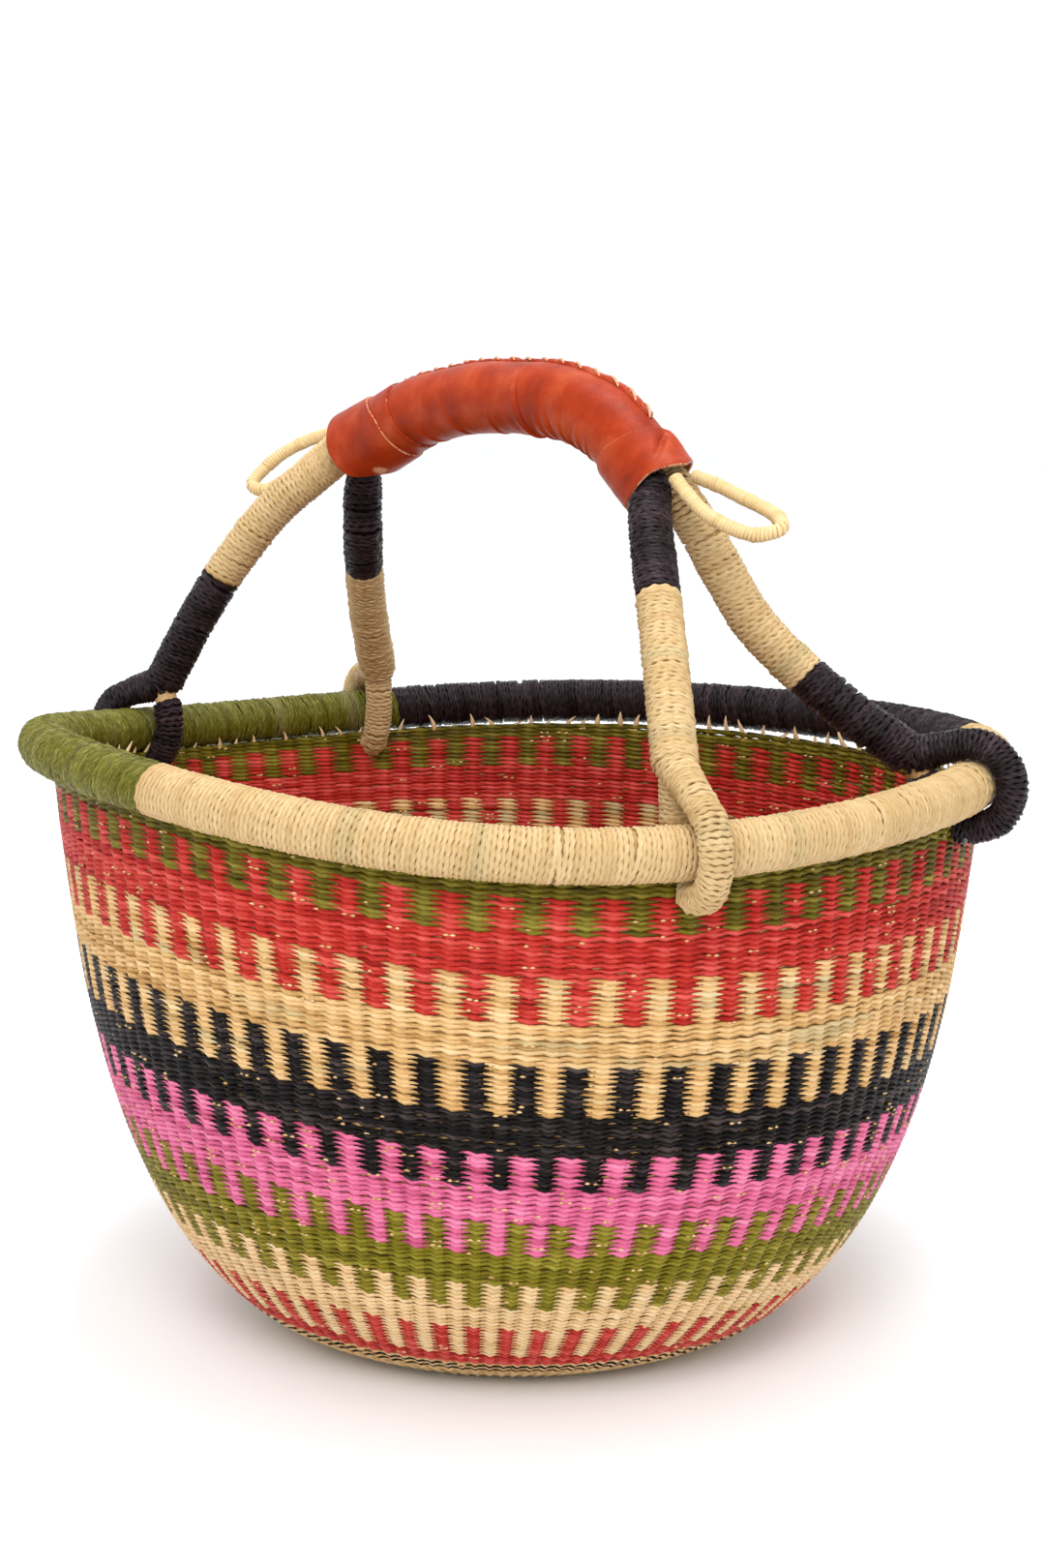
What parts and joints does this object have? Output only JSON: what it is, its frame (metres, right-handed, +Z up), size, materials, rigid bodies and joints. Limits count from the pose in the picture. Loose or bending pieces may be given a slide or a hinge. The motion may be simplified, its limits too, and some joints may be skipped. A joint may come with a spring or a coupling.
{
  "type": "woven market basket",
  "caption": "Round twined grass basket with a wrapped rim and a leather-gripped handle of two crossed bails, for carrying shopping.",
  "frame": {"origin": "centre of the flat base, on the surface the basket stands on", "axes": "+Z up, +X along the leather grip, +Y across it"},
  "size_m": [0.4254, 0.4199, 0.4122],
  "materials": {
    "weft_natural": "undyed twined grass, satin",
    "weft_border": "undyed and black twined grass, satin",
    "weft_olive": "olive dyed grass, satin",
    "weft_red": "red dyed grass, satin",
    "weft_pink": "pink dyed grass, satin",
    "weft_black": "black dyed grass, satin",
    "stake_grass": "undyed twisted grass, matte",
    "wrap_natural": "undyed split straw winding, satin",
    "wrap_black": "black dyed straw winding, glossy",
    "wrap_olive": "olive dyed straw winding, satin",
    "leather": "terracotta goat leather, rubbed semi-matte",
    "pale_leather": "scuffed pale edge of the same leather, matte",
    "loop_cord": "undyed straw wound cord, satin"
  },
  "bodies": {
    "basket": {"base_weave_outer": "weft_natural", "base_stakes": "stake_grass", "base_weave_inner": "weft_natural", "stake_panel_01": "stake_grass", "stake_panel_02": "stake_grass", "stake_panel_03": "stake_grass", "stake_panel_04": "stake_grass", "stake_panel_05": "stake_grass", "stake_panel_06": "stake_grass", "stake_panel_07": "stake_grass", "stake_panel_08": "stake_grass", "stake_panel_09": "stake_grass", "stake_panel_10": "stake_grass", "stake_panel_11": "stake_grass", "stake_panel_12": "stake_grass", "border_weft_outer": "weft_border", "border_weft_inner": "weft_border", "red_lower_weft_outer": "weft_red", "red_lower_weft_inner": "weft_red", "natural_lower_weft_outer": "weft_natural", "natural_lower_weft_inner": "weft_natural", "olive_lower_weft_outer": "weft_olive", "olive_lower_weft_inner": "weft_olive", "pink_weft_outer": "weft_pink", "pink_weft_inner": "weft_pink", "black_weft_outer": "weft_black", "black_weft_inner": "weft_black", "natural_upper_weft_outer": "weft_natural", "natural_upper_weft_inner": "weft_natural", "red_upper_weft_outer": "weft_red", "red_upper_weft_inner": "weft_red", "olive_upper_weft_outer": "weft_olive", "olive_upper_weft_inner": "weft_olive", "rim_hoop": "stake_grass", "rim_wrap_natural": "wrap_natural", "rim_wrap_black": "wrap_black", "rim_wrap_olive": "wrap_olive", "dark_foot_bail_core": "stake_grass", "pale_foot_bail_core": "stake_grass", "left_leg_wrap": "wrap_natural", "left_leg_fork": "wrap_black", "right_leg_wrap": "wrap_natural", "right_leg_fork": "wrap_black", "back_leg_wrap": "wrap_black", "back_leg_fork": "wrap_natural", "front_leg_wrap": "wrap_black", "front_leg_fork": "wrap_natural", "leather_grip": "leather", "leather_end_strip": "pale_leather", "leather_cuff": "leather", "leather_seam_thong": "leather"},
    "left_loop": {"left_hanging_loop": "loop_cord"},
    "right_loop": {"right_hanging_loop": "loop_cord"}
  },
  "joints": [
    {"name": "left_loop_flex", "type": "hinge", "parent": "basket", "child": "left_loop", "pos_m": [-0.108, 0, 0.375], "axis": [0, 1, 0], "range_deg": [-4, 25], "stiffness_Nm_per_rad": 0.05},
    {"name": "right_loop_flex", "type": "hinge", "parent": "basket", "child": "right_loop", "pos_m": [0.094, 0, 0.364], "axis": [0, 1, 0], "range_deg": [-25, 18], "stiffness_Nm_per_rad": 0.05}
  ]
}
